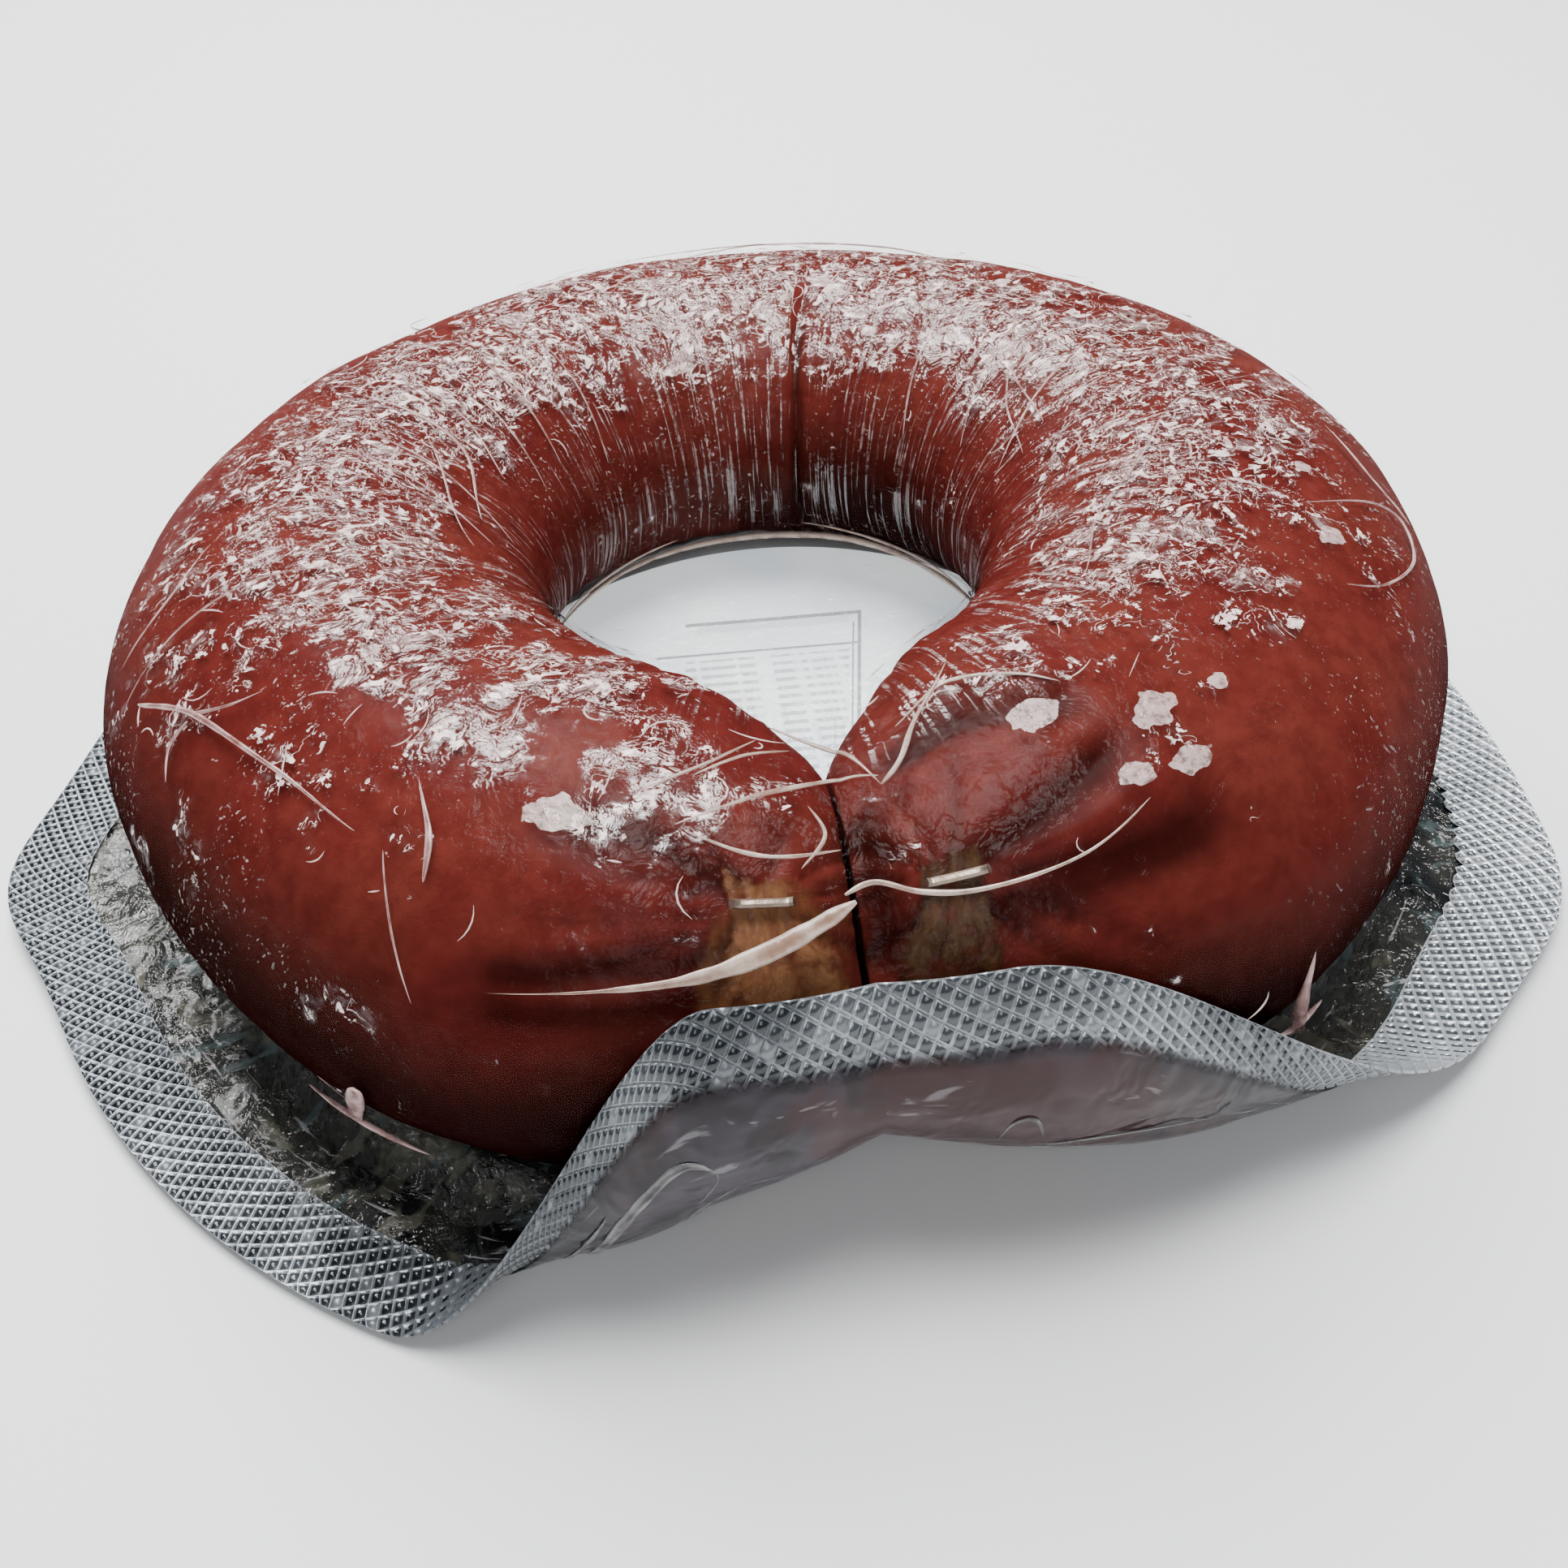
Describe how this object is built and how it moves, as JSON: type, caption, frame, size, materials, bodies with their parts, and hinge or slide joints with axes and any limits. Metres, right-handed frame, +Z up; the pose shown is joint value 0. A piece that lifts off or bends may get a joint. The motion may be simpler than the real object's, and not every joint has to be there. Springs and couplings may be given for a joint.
{
  "type": "vacuum-packed ring of cured sausage",
  "caption": "Cured sausage bent into a closed ring, its tied ends pressed together, sealed in a clear vacuum pack with an embossed flange folded up at the front.",
  "frame": {"origin": "centre of the label's underside, on the ring's axis, on the surface that the pack lies on", "axes": "+Z up along the ring's axis, -Y towards the front, where the two ends meet and the flange is folded up"},
  "size_m": [0.2116, 0.1986, 0.0552],
  "materials": {
    "casing": "smooth cured casing, brick red, darker where it curves under, tan where it is gathered at the ties",
    "clear_film": "clear, glossy vacuum film with fine creases",
    "paper_label": "white paper, matte, seen from its back through the film",
    "clip_metal": "bright drawn wire"
  },
  "bodies": {
    "root": {"sausage": "casing", "end_clip_left": "clip_metal", "end_clip_right": "clip_metal", "forming_film": "clear_film", "base_film": "clear_film", "label": "paper_label"}
  },
  "joints": []
}
